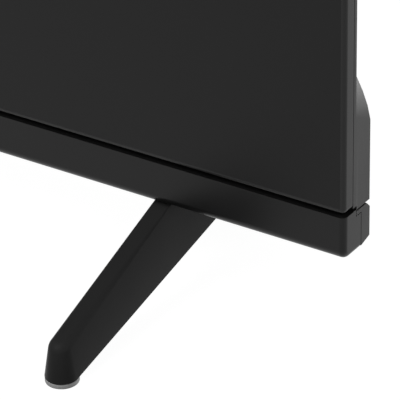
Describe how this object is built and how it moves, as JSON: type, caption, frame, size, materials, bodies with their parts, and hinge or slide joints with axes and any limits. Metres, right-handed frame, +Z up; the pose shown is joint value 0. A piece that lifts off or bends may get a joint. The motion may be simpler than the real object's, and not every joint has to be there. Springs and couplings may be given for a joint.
{
  "type": "flat screen tv",
  "caption": "Flat screen television with a slim frame, a chin strip, a stepped back with a terminal bay, and two A-shaped legs.",
  "frame": {"origin": "on the floor, midway between the sides and between the front and rear toes", "axes": "+X to the viewer's right, +Y from the viewer to the wall, +Z up"},
  "size_m": [0.96, 0.2152, 0.6163],
  "materials": {
    "screen_glass": "satin black polariser over glass",
    "frame_plastic": "satin black",
    "chin_plastic": "semi-gloss black",
    "cover_plastic": "fine-grained black",
    "leg_plastic": "satin black",
    "pad_rubber": "matte light grey",
    "steel": "galvanised",
    "screw_steel": "blackened",
    "shell_steel": "tinned",
    "sink_aluminium": "mill finish",
    "board_green": "solder mask",
    "white_sheet": "diffuse white",
    "clear_lens": "clear",
    "black_plastic": "moulded black",
    "key_plastic": "satin black",
    "window_plastic": "dark smoke",
    "socket_brass": "plated thread",
    "cable_amber": "polyimide",
    "cable_white": "flat cable",
    "wire_insulation": "insulated lead",
    "winding_tape": "taped winding",
    "cone_paper": "paper"
  },
  "bodies": {
    "root": {"lcd_cell": "screen_glass", "outer_frame": "frame_plastic", "middle_frame": "black_plastic", "optical_films": "white_sheet", "diffuser_plate": "white_sheet", "reflector_sheet": "white_sheet", "led_strips": "white_sheet", "led_lenses": "clear_lens", "rear_tray": "steel", "source_board": "board_green", "panel_ribbons": "cable_amber", "timing_board": "board_green", "panel_cables": "cable_white", "signal_cable": "cable_white", "main_board": "board_green", "processor": "black_plastic", "processor_heatsink": "sink_aluminium", "tuner_can": "shell_steel", "antenna_socket": "socket_brass", "hdmi_sockets": "shell_steel", "usb_sockets": "shell_steel", "network_socket": "shell_steel", "audio_jack": "black_plastic", "power_board": "board_green", "transformers": "winding_tape", "power_capacitors": "black_plastic", "power_heatsinks": "sink_aluminium", "power_inlet": "black_plastic", "power_harness": "wire_insulation", "light_harness": "wire_insulation", "speaker_harness": "wire_insulation", "cable_clips": "black_plastic", "board_standoffs": "shell_steel", "board_screws": "shell_steel", "wireless_module": "board_green", "left_speaker_box": "black_plastic", "right_speaker_box": "black_plastic", "speaker_drivers": "steel", "speaker_cones": "cone_paper", "ir_board": "board_green", "ir_window": "window_plastic", "key_board": "board_green", "key_switches": "black_plastic", "chin_trim": "chin_plastic", "bottom_cover": "cover_plastic", "rear_cover": "cover_plastic", "wall_mount_posts": "steel", "cover_screws": "screw_steel", "left_leg": "leg_plastic", "right_leg": "leg_plastic", "foot_pads": "pad_rubber", "leg_brackets": "steel", "leg_screws": "screw_steel"},
    "power_key_body": {"power_key": "key_plastic"},
    "input_key_body": {"input_key": "key_plastic"},
    "channel_up_key_body": {"channel_up_key": "key_plastic"},
    "channel_down_key_body": {"channel_down_key": "key_plastic"},
    "volume_up_key_body": {"volume_up_key": "key_plastic"},
    "volume_down_key_body": {"volume_down_key": "key_plastic"}
  },
  "joints": [
    {"name": "power_key_press", "type": "slide", "parent": "root", "child": "power_key_body", "axis": [0, -1, 0], "range_m": [0, 0.0006], "stiffness_N_per_m": 2000},
    {"name": "input_key_press", "type": "slide", "parent": "root", "child": "input_key_body", "axis": [0, -1, 0], "range_m": [0, 0.0006], "stiffness_N_per_m": 2000},
    {"name": "channel_up_key_press", "type": "slide", "parent": "root", "child": "channel_up_key_body", "axis": [0, -1, 0], "range_m": [0, 0.0006], "stiffness_N_per_m": 2000},
    {"name": "channel_down_key_press", "type": "slide", "parent": "root", "child": "channel_down_key_body", "axis": [0, -1, 0], "range_m": [0, 0.0006], "stiffness_N_per_m": 2000},
    {"name": "volume_up_key_press", "type": "slide", "parent": "root", "child": "volume_up_key_body", "axis": [0, -1, 0], "range_m": [0, 0.0006], "stiffness_N_per_m": 2000},
    {"name": "volume_down_key_press", "type": "slide", "parent": "root", "child": "volume_down_key_body", "axis": [0, -1, 0], "range_m": [0, 0.0006], "stiffness_N_per_m": 2000}
  ]
}
